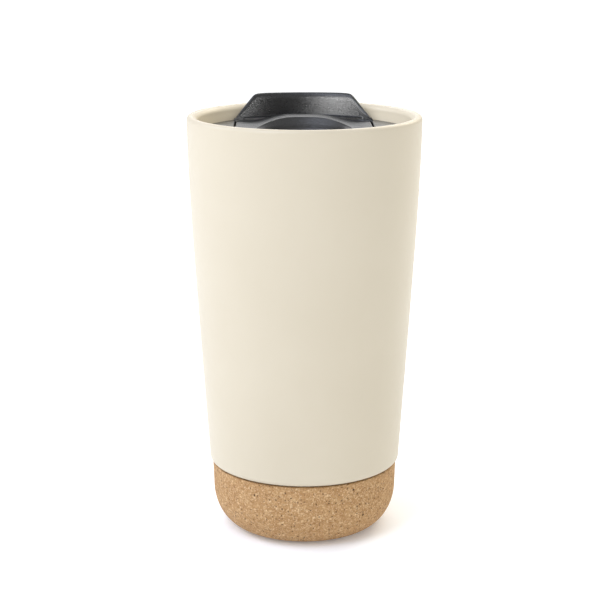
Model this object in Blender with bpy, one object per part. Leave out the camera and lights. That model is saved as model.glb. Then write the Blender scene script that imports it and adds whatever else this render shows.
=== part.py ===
"""Rigid double-wall ceramic travel cup with a cork base and a press-in slide lid.

Metres, +Z up. The origin is the middle of the cork base's underside, so the cup stands on z = 0.
+Y points to the drinking spout at the back of the lid. The slide opens towards -Y.
"""

import math

import bmesh
import bpy
from mathutils import Matrix, Vector

# ---- Driving dimensions -------------------------------------------------------------------

GAP = 0.0003                    # clearance between pieces that touch
SEGMENTS = 48                   # facets round a turned piece
SMALL_SEGMENTS = 24             # facets round a pin, a hole or a small turned piece
FINE_STEPS = 3                  # facets along a small rounding
CURVE_STEPS = 5                 # facets along a large rounding
SMOOTH_ANGLE = math.radians(35.0)

# Ceramic body: outer wall
RIM_TOP = 0.1600                # height of the lip
RIM_RADIUS = 0.0440             # outer radius just below the lip
LIP_OUTER_ROUND = 0.00155
LIP_INNER_ROUND = 0.00245
WALL_SLOPE = 0.0673             # taper that the wall settles to, per metre of depth
WALL_EASE = 0.0247              # depth over which the taper sets in
WALL_STATIONS = 10
SHOULDER_Z = 0.0259             # underside of the ceramic, where it meets the cork
SHOULDER_ROUND = 0.0020

# Ceramic body: foot hidden in the cork
FOOT_TOP_RADIUS = 0.0310
FOOT_LOW_RADIUS = 0.0300
FOOT_ROUND = 0.0034
FOOT_Z = 0.0064
VENT_RADIUS = 0.0030

# Ceramic body: inner cup
CERAMIC_WALL = 0.0028
LEDGE_Z = 0.1522                # ledge that the lid rests on
LEDGE_OUTER_RADIUS = 0.0392
MOUTH_WALL_Z = 0.1545
MOUTH_WALL_RADIUS = 0.0393
THROAT_TOP_RADIUS = 0.0374
THROAT_LOW_Z = 0.1300
THROAT_LOW_RADIUS = 0.0369
INNER_FLOOR_Z = 0.0144
INNER_FLOOR_RADIUS = 0.0225
INNER_FLOOR_ROUND = 0.0060
AIR_GAP_TOP_Z = 0.1240
AIR_GAP_CORNER = 0.0006
AIR_GAP_STATIONS = 4

# Cork base
CORK_TOP_Z = 0.0255
CORK_TOP_RADIUS = 0.0357
CORK_BEND_Z = 0.0160            # height where the rounding of the base begins
CORK_BEND_RADIUS = 0.0354
CORK_FLAT_RADIUS = 0.0234       # radius of the flat underside
CORK_FLOOR_Z = 0.0050
CORK_EDGE = 0.0004              # chamfer of the top edge
PAD_RADIUS = 0.0220

# Vent plug
BARB_OVERHANG = 0.0009          # the barb reaches this far past the stem
BARB_TAPER = 0.0013
BARB_HEIGHT = 0.0017

# Lid cover: deck and spout
DECK_Z = 0.1545
DECK_THICKNESS = 0.0020
DECK_RADIUS = 0.0388
DECK_EDGE_ROUND = 0.0004
WINDOW_HALF_WIDTH = 0.0266      # opening for the slide
WINDOW_BACK_Y = 0.0273
WINDOW_FRONT_Y = -0.0284
WINDOW_CORNER = 0.0060
STEP_Y = 0.0275                 # front of the raised step at the foot of the spout
STEP_HEIGHT = 0.0008
SPOUT_TOP_Z = 0.1643
SPOUT_INNER_RADIUS = 0.0360
SPOUT_OUTER_RADIUS = 0.0388
SPOUT_INNER_ROUND = 0.0012
SPOUT_OUTER_ROUND = 0.0006
SPOUT_FOOT_HALF_WIDTH = 0.0270
SPOUT_SHOULDER_HALF_WIDTH = 0.0210
SPOUT_SHOULDER_DROP = 0.0019    # from the top of the spout down to its shoulder
SPOUT_TOP_HALF_WIDTH = 0.0175
SPOUT_HALF_ANGLE = math.radians(56.0)

# Lid base: the plug under the cover
FLOOR_TOP_Z = 0.1489
FLOOR_THICKNESS = 0.0020
PLUG_RADIUS = 0.0364
PLUG_RIM_Z = 0.1520
PLUG_RIM_INNER_RADIUS = 0.0346
SKIRT_LOW_Z = 0.1330
SKIRT_INNER_RADIUS = 0.0330
GROOVE_RADIUS = 0.0348
GROOVE_LOW_Z = 0.1355
GROOVE_TOP_Z = 0.1445
SLOT_HALF_WIDTH = 0.0090
SLOT_FRONT_Y = 0.0206
SLOT_BACK_Y = 0.0256
AIR_HOLE_Y = -0.0240
AIR_HOLE_RADIUS = 0.0012

# Gasket
GASKET_FIN_RADIUS = 0.0367
GASKET_BODY_RADIUS = 0.0359
GASKET_FINS = 3

# Slide
SLIDE_HALF_WIDTH = 0.0261
SLIDE_BACK_Y = 0.0269
SLIDE_FRONT_Y = -0.0199
SLIDE_CORNER = 0.0056
SLIDE_TOP_Z = 0.1543
SLIDE_UNDER_Z = 0.1523
GRIP_HEIGHT = 0.0025            # crest of the raised grip above the slide
GRIP_CREST_HALF_WIDTH = 0.0040
GRIP_FOOT_HALF_WIDTH = 0.0190
GRIP_FULL_Y = 0.0120            # the grip has its full height behind this line
GRIP_END_Y = -0.0050
GRIP_COLUMNS = 28
GRIP_ROWS = 12
PLATE_MARGIN = 0.0010           # trimmed off when the slide is cut to its outline
SCOOP_RADIUS = 0.0180           # thumb recess, round and centred on the cup's axis
SCOOP_FLOOR_RADIUS = 0.0168
SCOOP_FLOOR_Z = 0.1506
SCOOP_FLOOR_ROUND = 0.0012
BOWL_WALL = 0.0014
RAIL_INNER_X = 0.0240
RAIL_OUTER_X = 0.0280
RAIL_FRONT_Y = -0.0100
RAIL_BACK_Y = 0.0180
RAIL_LOW_Z = 0.1493

# Slide seal
SEAL_HALF_WIDTH = 0.0120
SEAL_FRONT_Y = 0.0198
SEAL_BACK_Y = 0.0264
SEAL_CORNER = 0.0020
SEAL_STUD_X = 0.0070
SEAL_STUD_RADIUS = 0.0015
SEAL_STUD_TOP_Z = 0.1532


# ---- Curves and outlines ------------------------------------------------------------------

def arc(centre, radii, start_deg, end_deg, steps):
    """Points on a quarter of an ellipse or any other part of one, both ends included."""
    points = []
    for index in range(steps + 1):
        angle = math.radians(start_deg + (end_deg - start_deg) * index / steps)
        points.append((centre[0] + radii[0] * math.cos(angle), centre[1] + radii[1] * math.sin(angle)))
    return points


def blend(low, high, share):
    """The value at a share of the way from low to high."""
    return low + (high - low) * share


def ease(share):
    """A smooth 0 to 1 curve with level ends, held at its ends outside 0 to 1."""
    share = min(max(share, 0.0), 1.0)
    return 0.5 - 0.5 * math.cos(math.pi * share)


def wall_radius(z):
    """Outer radius of the ceramic wall: upright under the lip, easing into a straight taper."""
    depth = RIM_TOP - z
    eased_depth = depth - WALL_EASE * (1.0 - math.exp(-depth / WALL_EASE))
    return RIM_RADIUS - WALL_SLOPE * eased_depth


def cone_radius(z):
    """Inner radius of the drinking cup below its throat."""
    share = (z - INNER_FLOOR_Z) / (THROAT_LOW_Z - INNER_FLOOR_Z)
    return blend(INNER_FLOOR_RADIUS, THROAT_LOW_RADIUS, share)


def rounded_rectangle(half_width, front, back, corner):
    """A rectangle with round corners, symmetric about x = 0, drawn anticlockwise."""
    centres = (
        (half_width - corner, back - corner, 0.0),
        (-half_width + corner, back - corner, 90.0),
        (-half_width + corner, front + corner, 180.0),
        (half_width - corner, front + corner, 270.0),
    )
    outline = []
    for x, y, start_deg in centres:
        outline += arc((x, y), (corner, corner), start_deg, start_deg + 90.0, CURVE_STEPS)
    return outline


# ---- Mesh helpers -------------------------------------------------------------------------

def clear_scene():
    for item in list(bpy.data.objects):
        bpy.data.objects.remove(item, do_unlink=True)


def make_material(name, colour, roughness):
    material = bpy.data.materials.new(name)
    material.use_nodes = True
    shader = material.node_tree.nodes["Principled BSDF"]
    shader.inputs["Base Color"].default_value = (*colour, 1.0)
    shader.inputs["Roughness"].default_value = roughness
    shader.inputs["Metallic"].default_value = 0.0
    material.diffuse_color = (*colour, 1.0)
    return material


def make_object(name, bm, material=None):
    """Turn a bmesh into a named object, shaded smooth up to the sharp-edge angle."""
    bmesh.ops.recalc_face_normals(bm, faces=bm.faces)
    mesh = bpy.data.meshes.new(name)
    bm.to_mesh(mesh)
    bm.free()
    item = bpy.data.objects.new(name, mesh)
    bpy.context.scene.collection.objects.link(item)
    if material:
        mesh.materials.append(material)
    mesh.shade_smooth()
    mesh.set_sharp_from_angle(angle=SMOOTH_ANGLE)
    return item


def mesh_of(item):
    """Take an object's mesh out as a bmesh, and remove the object."""
    bm = bmesh.new()
    bm.from_mesh(item.data)
    bpy.data.objects.remove(item, do_unlink=True)
    return bm


def turn(outline, closed=False, segments=SEGMENTS):
    """Spin an outline of (radius, height) points round the Z axis.

    An open outline starts and ends on the axis. A closed one makes a ring.
    """
    bm = bmesh.new()
    verts = [bm.verts.new((radius, 0.0, height)) for radius, height in outline]
    edges = [bm.edges.new(pair) for pair in zip(verts, verts[1:])]
    if closed:
        edges.append(bm.edges.new((verts[-1], verts[0])))
    bmesh.ops.spin(
        bm, geom=verts + edges, cent=(0.0, 0.0, 0.0), axis=(0.0, 0.0, 1.0),
        angle=2.0 * math.pi, steps=segments, use_merge=True,
    )
    bmesh.ops.remove_doubles(bm, verts=bm.verts, dist=1e-6)
    return bm


def prism(outline, low, high):
    """Extrude a flat (x, y) outline from height low to height high."""
    bm = bmesh.new()
    face = bm.faces.new([bm.verts.new((x, y, low)) for x, y in outline])
    top = bmesh.ops.extrude_face_region(bm, geom=[face])
    lifted = [part for part in top["geom"] if isinstance(part, bmesh.types.BMVert)]
    bmesh.ops.translate(bm, vec=(0.0, 0.0, high - low), verts=lifted)
    return bm


def stand_up(bm):
    """Turn a prism's (x, y, z) into (x, -z, y), so that its outline stands in the XZ plane."""
    bmesh.ops.rotate(bm, cent=(0.0, 0.0, 0.0), matrix=Matrix.Rotation(math.pi / 2.0, 3, "X"), verts=bm.verts)
    return bm


def disc(radius, low, high, centre=(0.0, 0.0)):
    """A plain round solid, used for pins and holes."""
    bm = bmesh.new()
    bmesh.ops.create_cone(
        bm, cap_ends=True, segments=SMALL_SEGMENTS, radius1=radius, radius2=radius, depth=high - low,
        matrix=Matrix.Translation(Vector((centre[0], centre[1], 0.5 * (low + high)))),
    )
    return bm


def combine(target, bm, operation):
    """Join, cut or intersect an object's mesh with another solid, and keep the result as its mesh."""
    tool = make_object("tool", bm)
    modifier = target.modifiers.new("combine", "BOOLEAN")
    modifier.operation = operation
    modifier.solver = "EXACT"
    modifier.object = tool
    evaluated = target.evaluated_get(bpy.context.evaluated_depsgraph_get())
    result = bpy.data.meshes.new_from_object(evaluated)
    target.modifiers.clear()
    old_mesh = target.data
    result.name = target.name
    target.data = result
    bpy.data.meshes.remove(old_mesh)
    bpy.data.objects.remove(tool, do_unlink=True)
    result.set_sharp_from_angle(angle=SMOOTH_ANGLE)


# ---- Cup ----------------------------------------------------------------------------------

def ceramic_inside_outline():
    """From the middle of the drinking cup's floor up to the lip."""
    wall_foot = INNER_FLOOR_Z + INNER_FLOOR_ROUND
    corner_centre = (cone_radius(wall_foot) - INNER_FLOOR_ROUND, wall_foot)
    outline = [(0.0, INNER_FLOOR_Z)]
    outline += arc(corner_centre, (INNER_FLOOR_ROUND, INNER_FLOOR_ROUND), 270.0, 360.0, CURVE_STEPS)
    outline += [(THROAT_LOW_RADIUS, THROAT_LOW_Z), (THROAT_TOP_RADIUS, LEDGE_Z)]
    outline += [(LEDGE_OUTER_RADIUS, LEDGE_Z), (MOUTH_WALL_RADIUS, MOUTH_WALL_Z)]
    return outline


def ceramic_lip_outline():
    """Over the lip: a wide rounding inside and a tighter one outside."""
    apex_radius = wall_radius(RIM_TOP - LIP_OUTER_ROUND) - LIP_OUTER_ROUND
    inner_centre = (apex_radius, RIM_TOP - LIP_INNER_ROUND)
    outer_centre = (apex_radius, RIM_TOP - LIP_OUTER_ROUND)
    outline = arc(inner_centre, (LIP_INNER_ROUND, LIP_INNER_ROUND), 180.0, 90.0, CURVE_STEPS)
    outline += arc(outer_centre, (LIP_OUTER_ROUND, LIP_OUTER_ROUND), 90.0, 0.0, CURVE_STEPS)[1:]
    return outline


def ceramic_outside_outline():
    """Down the outer wall, under the shoulder, down the foot and in to the vent hole."""
    wall_top = RIM_TOP - LIP_OUTER_ROUND
    wall_foot = SHOULDER_Z + SHOULDER_ROUND
    outline = []
    for index in range(1, WALL_STATIONS):
        z = blend(wall_top, wall_foot, index / WALL_STATIONS)
        outline.append((wall_radius(z), z))
    shoulder_centre = (wall_radius(wall_foot) - SHOULDER_ROUND, wall_foot)
    outline += arc(shoulder_centre, (SHOULDER_ROUND, SHOULDER_ROUND), 0.0, -90.0, CURVE_STEPS)
    outline.append((FOOT_TOP_RADIUS, SHOULDER_Z))
    foot_centre = (FOOT_LOW_RADIUS - FOOT_ROUND, FOOT_Z + FOOT_ROUND)
    outline += arc(foot_centre, (FOOT_ROUND, FOOT_ROUND), 0.0, -90.0, CURVE_STEPS)
    outline.append((VENT_RADIUS, FOOT_Z))
    return outline


def ceramic_air_gap_outline():
    """Up through the vent hole, round the air gap between the walls, and back to the axis."""
    plate_top = FOOT_Z + CERAMIC_WALL
    gap_shoulder = SHOULDER_Z + CERAMIC_WALL
    outline = [(VENT_RADIUS, plate_top)]
    foot_centre = (FOOT_LOW_RADIUS - FOOT_ROUND, plate_top + AIR_GAP_CORNER)
    outline += arc(foot_centre, (AIR_GAP_CORNER, AIR_GAP_CORNER), 270.0, 360.0, FINE_STEPS)
    outline.append((FOOT_TOP_RADIUS - CERAMIC_WALL, gap_shoulder))
    for index in range(AIR_GAP_STATIONS + 1):
        z = blend(gap_shoulder, AIR_GAP_TOP_Z, index / AIR_GAP_STATIONS)
        outline.append((wall_radius(z) - CERAMIC_WALL, z))
    outline.append((cone_radius(AIR_GAP_TOP_Z) + CERAMIC_WALL, AIR_GAP_TOP_Z))
    wall_foot = INNER_FLOOR_Z + INNER_FLOOR_ROUND
    outer_round = INNER_FLOOR_ROUND + CERAMIC_WALL
    corner_centre = (cone_radius(wall_foot) - INNER_FLOOR_ROUND, wall_foot)
    outline += arc(corner_centre, (outer_round, outer_round), 0.0, -90.0, CURVE_STEPS)
    outline.append((0.0, INNER_FLOOR_Z - CERAMIC_WALL))
    return outline


def make_ceramic_body():
    outline = ceramic_inside_outline() + ceramic_lip_outline()
    outline += ceramic_outside_outline() + ceramic_air_gap_outline()
    material = make_material("cream_ceramic", (0.80, 0.73, 0.61), 0.45)
    return make_object("ceramic_body", turn(outline), material)


def make_vent_plug():
    """Silicone plug: a stem in the vent hole and a barb that holds it from inside."""
    plate_top = FOOT_Z + CERAMIC_WALL
    stem = VENT_RADIUS - GAP
    barb = stem + BARB_OVERHANG
    outline = [
        (0.0, FOOT_Z + GAP), (stem, FOOT_Z + GAP), (stem, plate_top + GAP),
        (barb, plate_top + 2.0 * GAP), (barb - BARB_TAPER, plate_top + BARB_HEIGHT),
        (0.0, plate_top + BARB_HEIGHT),
    ]
    material = make_material("clear_grey_silicone", (0.55, 0.55, 0.54), 0.55)
    return make_object("vent_plug", turn(outline, segments=SMALL_SEGMENTS), material)


def make_cork_base():
    pocket_top = FOOT_TOP_RADIUS + GAP
    pocket_low = FOOT_LOW_RADIUS + GAP
    pocket_round = FOOT_ROUND + GAP
    bend_radii = (CORK_BEND_RADIUS - CORK_FLAT_RADIUS, CORK_BEND_Z)
    outline = [(0.0, CORK_FLOOR_Z)]
    pocket_centre = (pocket_low - pocket_round, CORK_FLOOR_Z + pocket_round)
    outline += arc(pocket_centre, (pocket_round, pocket_round), 270.0, 360.0, CURVE_STEPS)
    outline += [(pocket_top, CORK_TOP_Z), (CORK_TOP_RADIUS - CORK_EDGE, CORK_TOP_Z)]
    outline += [(CORK_TOP_RADIUS, CORK_TOP_Z - CORK_EDGE)]
    outline += arc((CORK_FLAT_RADIUS, CORK_BEND_Z), bend_radii, 0.0, -90.0, 2 * CURVE_STEPS)
    outline.append((0.0, 0.0))
    material = make_material("agglomerated_cork", (0.55, 0.36, 0.20), 0.85)
    return make_object("cork_base", turn(outline), material)


def make_adhesive_pad():
    low = CORK_FLOOR_Z + GAP
    high = FOOT_Z - GAP
    outline = [(0.0, low), (PAD_RADIUS, low), (PAD_RADIUS, high), (0.0, high)]
    material = make_material("foam_adhesive", (0.85, 0.84, 0.80), 0.7)
    return make_object("adhesive_pad", turn(outline, segments=SMALL_SEGMENTS), material)


# ---- Lid cover ----------------------------------------------------------------------------

def spout_wall():
    """The curved wall of the spout, before its sides are cut to their slant."""
    top_inner = (SPOUT_INNER_RADIUS + SPOUT_INNER_ROUND, SPOUT_TOP_Z - SPOUT_INNER_ROUND)
    top_outer = (SPOUT_OUTER_RADIUS - SPOUT_OUTER_ROUND, SPOUT_TOP_Z - SPOUT_OUTER_ROUND)
    foot = DECK_Z - 0.5 * DECK_THICKNESS
    outline = [(SPOUT_INNER_RADIUS, foot)]
    outline += arc(top_inner, (SPOUT_INNER_ROUND, SPOUT_INNER_ROUND), 180.0, 90.0, FINE_STEPS)
    outline += arc(top_outer, (SPOUT_OUTER_ROUND, SPOUT_OUTER_ROUND), 90.0, 0.0, FINE_STEPS)
    outline.append((SPOUT_OUTER_RADIUS, foot))
    bm = bmesh.new()
    face = bm.faces.new([bm.verts.new((radius, 0.0, height)) for radius, height in outline])
    start = math.pi / 2.0 - SPOUT_HALF_ANGLE
    bmesh.ops.rotate(bm, cent=(0.0, 0.0, 0.0), matrix=Matrix.Rotation(start, 3, "Z"), verts=bm.verts)
    bmesh.ops.spin(
        bm, geom=[face], cent=(0.0, 0.0, 0.0), axis=(0.0, 0.0, 1.0),
        angle=2.0 * SPOUT_HALF_ANGLE, steps=SEGMENTS // 3,
    )
    return bm


def spout_front_view():
    """The spout's outline seen from the front: slanted sides, round shoulders and a level top."""
    shoulder_z = SPOUT_TOP_Z - SPOUT_SHOULDER_DROP
    foot_z = DECK_Z - DECK_THICKNESS
    side = [(SPOUT_FOOT_HALF_WIDTH, foot_z), (SPOUT_FOOT_HALF_WIDTH, DECK_Z)]
    start = Vector((SPOUT_SHOULDER_HALF_WIDTH, shoulder_z))
    end = Vector((SPOUT_TOP_HALF_WIDTH, SPOUT_TOP_Z))
    slant = (SPOUT_FOOT_HALF_WIDTH - SPOUT_SHOULDER_HALF_WIDTH) / (shoulder_z - DECK_Z)
    corner = Vector((SPOUT_SHOULDER_HALF_WIDTH - slant * SPOUT_SHOULDER_DROP, SPOUT_TOP_Z))
    for index in range(CURVE_STEPS + 1):
        share = index / CURVE_STEPS
        point = start.lerp(corner, share).lerp(corner.lerp(end, share), share)
        side.append((point.x, point.y))
    return side + [(-x, z) for x, z in reversed(side)]


def make_lid_cover():
    underside = DECK_Z - DECK_THICKNESS
    edge = (DECK_RADIUS - DECK_EDGE_ROUND, DECK_Z - DECK_EDGE_ROUND)
    deck = [(0.0, underside), (DECK_RADIUS, underside)]
    deck += arc(edge, (DECK_EDGE_ROUND, DECK_EDGE_ROUND), 0.0, 90.0, FINE_STEPS)
    deck.append((0.0, DECK_Z))
    material = make_material("black_plastic_cover", (0.028, 0.028, 0.030), 0.45)
    cover = make_object("lid_cover", turn(deck), material)

    step = make_object("step", turn([
        (0.0, underside + GAP), (DECK_RADIUS - GAP, underside + GAP),
        (DECK_RADIUS - GAP, DECK_Z + STEP_HEIGHT), (0.0, DECK_Z + STEP_HEIGHT),
    ]))
    half = DECK_RADIUS
    behind_step = [(half, STEP_Y), (half, half), (-half, half), (-half, STEP_Y)]
    combine(step, prism(behind_step, underside, SPOUT_TOP_Z), "INTERSECT")

    spout = make_object("spout", spout_wall())
    front_view = stand_up(prism(spout_front_view(), -half - GAP, 0.0))
    combine(spout, front_view, "INTERSECT")

    combine(cover, mesh_of(step), "UNION")
    combine(cover, mesh_of(spout), "UNION")
    window = rounded_rectangle(WINDOW_HALF_WIDTH, WINDOW_FRONT_Y, WINDOW_BACK_Y, WINDOW_CORNER)
    combine(cover, prism(window, underside - GAP, DECK_Z + GAP), "DIFFERENCE")
    return cover


# ---- Lid base and gasket ------------------------------------------------------------------

def make_lid_base():
    floor_low = FLOOR_TOP_Z - FLOOR_THICKNESS
    outline = [
        (0.0, FLOOR_TOP_Z), (PLUG_RIM_INNER_RADIUS, FLOOR_TOP_Z),
        (PLUG_RIM_INNER_RADIUS, PLUG_RIM_Z), (PLUG_RADIUS, PLUG_RIM_Z),
        (PLUG_RADIUS, GROOVE_TOP_Z), (GROOVE_RADIUS, GROOVE_TOP_Z),
        (GROOVE_RADIUS, GROOVE_LOW_Z), (PLUG_RADIUS - GAP, GROOVE_LOW_Z),
        (PLUG_RADIUS - 2.0 * GAP, SKIRT_LOW_Z), (SKIRT_INNER_RADIUS, SKIRT_LOW_Z),
        (SKIRT_INNER_RADIUS, floor_low), (0.0, floor_low),
    ]
    material = make_material("black_plastic_plug", (0.030, 0.030, 0.032), 0.5)
    base = make_object("lid_base", turn(outline), material)
    corner = 0.5 * (SLOT_BACK_Y - SLOT_FRONT_Y) - GAP
    slot = rounded_rectangle(SLOT_HALF_WIDTH, SLOT_FRONT_Y, SLOT_BACK_Y, corner)
    combine(base, prism(slot, floor_low - GAP, FLOOR_TOP_Z + GAP), "DIFFERENCE")
    hole = disc(AIR_HOLE_RADIUS, floor_low - GAP, FLOOR_TOP_Z + GAP, centre=(0.0, AIR_HOLE_Y))
    combine(base, hole, "DIFFERENCE")
    return base


def make_lid_gasket():
    """Silicone ring with pointed fins that press on the ceramic throat."""
    low = GROOVE_LOW_Z + GAP
    high = GROOVE_TOP_Z - GAP
    inner = GROOVE_RADIUS + GAP
    pitch = (high - low) / GASKET_FINS
    outline = [(inner, low)]
    for index in range(GASKET_FINS):
        fin_low = low + pitch * index
        outline.append((GASKET_BODY_RADIUS, fin_low))
        outline.append((GASKET_FIN_RADIUS, fin_low + 0.55 * pitch))
        outline.append((GASKET_FIN_RADIUS, fin_low + 0.70 * pitch))
    outline += [(GASKET_BODY_RADIUS, high), (inner, high)]
    material = make_material("black_silicone", (0.040, 0.040, 0.042), 0.6)
    return make_object("lid_gasket", turn(outline, closed=True), material)


# ---- Slide --------------------------------------------------------------------------------

def grip_height(x, y):
    """Height of the raised grip above the slide's flat top."""
    across = (abs(x) - GRIP_CREST_HALF_WIDTH) / (GRIP_FOOT_HALF_WIDTH - GRIP_CREST_HALF_WIDTH)
    along = (y - GRIP_END_Y) / (GRIP_FULL_Y - GRIP_END_Y)
    return GRIP_HEIGHT * (1.0 - ease(across)) * ease(along)


def slide_plate():
    """A block whose top is a grid raised to the grip's height."""
    half = SLIDE_HALF_WIDTH + PLATE_MARGIN
    front = SLIDE_FRONT_Y - PLATE_MARGIN
    back = SLIDE_BACK_Y + PLATE_MARGIN
    bm = bmesh.new()
    rows = []
    for row in range(GRIP_ROWS + 1):
        y = blend(front, back, row / GRIP_ROWS)
        xs = [blend(-half, half, column / GRIP_COLUMNS) for column in range(GRIP_COLUMNS + 1)]
        rows.append([bm.verts.new((x, y, SLIDE_TOP_Z + grip_height(x, y))) for x in xs])
    for near, far in zip(rows, rows[1:]):
        for column in range(GRIP_COLUMNS):
            bm.faces.new((near[column], near[column + 1], far[column + 1], far[column]))
    skirt = bmesh.ops.extrude_face_region(bm, geom=list(bm.faces))
    for part in skirt["geom"]:
        if isinstance(part, bmesh.types.BMVert):
            part.co.z = SLIDE_UNDER_Z
    return bm


def scoop_solid(margin, floor_z, top_z):
    """The thumb recess as a solid, widened by a margin: a steep round pocket."""
    corner = (SCOOP_FLOOR_RADIUS + margin - SCOOP_FLOOR_ROUND, floor_z + SCOOP_FLOOR_ROUND)
    outline = [(0.0, floor_z)]
    outline += arc(corner, (SCOOP_FLOOR_ROUND, SCOOP_FLOOR_ROUND), 270.0, 360.0, FINE_STEPS)
    outline += [(SCOOP_RADIUS + margin, SLIDE_TOP_Z), (SCOOP_RADIUS + margin, top_z), (0.0, top_z)]
    return turn(outline)


def slide_rail(side):
    """A foot along one side of the slide, caught under the cover."""
    section = [
        (RAIL_INNER_X, RAIL_LOW_Z), (RAIL_OUTER_X, RAIL_LOW_Z),
        (RAIL_OUTER_X, PLUG_RIM_Z), (SLIDE_HALF_WIDTH - GAP, PLUG_RIM_Z),
        (SLIDE_HALF_WIDTH - GAP, SLIDE_UNDER_Z + GAP), (RAIL_INNER_X, SLIDE_UNDER_Z + GAP),
    ]
    return stand_up(prism([(side * x, z) for x, z in section], -RAIL_BACK_Y, -RAIL_FRONT_Y))


def make_slider():
    material = make_material("black_plastic_slide", (0.030, 0.030, 0.033), 0.45)
    slide = make_object("slider", slide_plate(), material)
    plan = rounded_rectangle(SLIDE_HALF_WIDTH, SLIDE_FRONT_Y, SLIDE_BACK_Y, SLIDE_CORNER)
    grip_top = SLIDE_TOP_Z + GRIP_HEIGHT + GAP
    combine(slide, prism(plan, SLIDE_UNDER_Z - GAP, grip_top), "INTERSECT")
    bowl_low = SCOOP_FLOOR_Z - BOWL_WALL
    combine(slide, scoop_solid(BOWL_WALL, bowl_low, SLIDE_TOP_Z - GAP), "UNION")
    combine(slide, slide_rail(1.0), "UNION")
    combine(slide, slide_rail(-1.0), "UNION")
    combine(slide, scoop_solid(0.0, SCOOP_FLOOR_Z, grip_top), "DIFFERENCE")
    for side in (-1.0, 1.0):
        centre = (side * SEAL_STUD_X, 0.5 * (SEAL_FRONT_Y + SEAL_BACK_Y))
        socket = disc(SEAL_STUD_RADIUS + GAP, SLIDE_UNDER_Z - GAP, SEAL_STUD_TOP_Z + GAP, centre)
        combine(slide, socket, "DIFFERENCE")
    return slide


def make_slider_seal():
    low = FLOOR_TOP_Z + GAP
    high = SLIDE_UNDER_Z - GAP
    pad = rounded_rectangle(SEAL_HALF_WIDTH, SEAL_FRONT_Y, SEAL_BACK_Y, SEAL_CORNER)
    material = make_material("grey_silicone", (0.10, 0.10, 0.10), 0.6)
    seal = make_object("slider_seal", prism(pad, low, high), material)
    for side in (-1.0, 1.0):
        centre = (side * SEAL_STUD_X, 0.5 * (SEAL_FRONT_Y + SEAL_BACK_Y))
        combine(seal, disc(SEAL_STUD_RADIUS, high - GAP, SEAL_STUD_TOP_Z, centre), "UNION")
    return seal


# ---- Assembly -----------------------------------------------------------------------------

def main():
    clear_scene()
    make_ceramic_body()
    make_vent_plug()
    make_cork_base()
    make_adhesive_pad()
    make_lid_cover()
    make_lid_base()
    make_lid_gasket()
    make_slider()
    make_slider_seal()


main()
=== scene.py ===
"""Looks of the ceramic travel cup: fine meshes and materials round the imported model.

Metres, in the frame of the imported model: +Z up, the cup standing on z = 0, the spout at +Y.
"""

import math

import bmesh
import bpy
from mathutils import Euler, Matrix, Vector


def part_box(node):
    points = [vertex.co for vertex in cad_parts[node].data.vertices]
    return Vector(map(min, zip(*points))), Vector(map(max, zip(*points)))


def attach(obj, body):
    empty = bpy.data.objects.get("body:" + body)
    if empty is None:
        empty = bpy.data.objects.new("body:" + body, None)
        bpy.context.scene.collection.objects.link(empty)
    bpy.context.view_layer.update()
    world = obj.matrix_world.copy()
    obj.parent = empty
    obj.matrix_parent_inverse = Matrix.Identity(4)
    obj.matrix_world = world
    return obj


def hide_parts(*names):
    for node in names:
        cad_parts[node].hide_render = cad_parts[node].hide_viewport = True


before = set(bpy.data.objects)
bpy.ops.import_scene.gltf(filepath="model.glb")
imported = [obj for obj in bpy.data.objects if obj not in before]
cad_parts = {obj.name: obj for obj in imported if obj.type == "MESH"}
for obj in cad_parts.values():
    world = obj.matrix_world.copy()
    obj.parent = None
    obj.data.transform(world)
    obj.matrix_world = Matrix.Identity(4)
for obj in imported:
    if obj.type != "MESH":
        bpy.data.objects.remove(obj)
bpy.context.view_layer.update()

# ---- Places and sizes read from the frame ---------------------------------------------------

CERAMIC_LOW, CERAMIC_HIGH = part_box("ceramic_body")
CORK_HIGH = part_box("cork_base")[1]
COVER_LOW, COVER_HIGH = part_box("lid_cover")
PLUG_LOW, PLUG_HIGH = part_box("lid_base")
GASKET_LOW, GASKET_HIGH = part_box("lid_gasket")
SLIDE_LOW, SLIDE_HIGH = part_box("slider")

RIM_TOP = CERAMIC_HIGH.z
FOOT_Z = CERAMIC_LOW.z
CORK_TOP = CORK_HIGH.z
COVER_UNDER = COVER_LOW.z
DECK_RADIUS = COVER_HIGH.x
SPOUT_TOP = COVER_HIGH.z
COVER_THICKNESS = 0.0020
DECK_Z = COVER_UNDER + COVER_THICKNESS

# ---- Sizes of the fine shapes ---------------------------------------------------------------

AROUND = 288                    # points round a turned piece
CORK_AROUND = 640               # points round the cork
LID_AROUND = 512                # points round the deck and the slide
PLUG_AROUND = 192
GAP = 0.0003                    # left free between neighbouring pieces
ARC_CLEARANCE = 0.0010          # a straight stretch starts this far past the arc before it
EDGE_ROUND = 0.00035            # on the deck and the slide
UNDER_CHAMFER = 0.0002          # along the lower edges of the deck and the slide
SHARP_DEG = 40.0                # an edge that bends by more than this stays crisp
SPOUT_SHARP_DEG = 50.0
TINY = 1e-9

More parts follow.
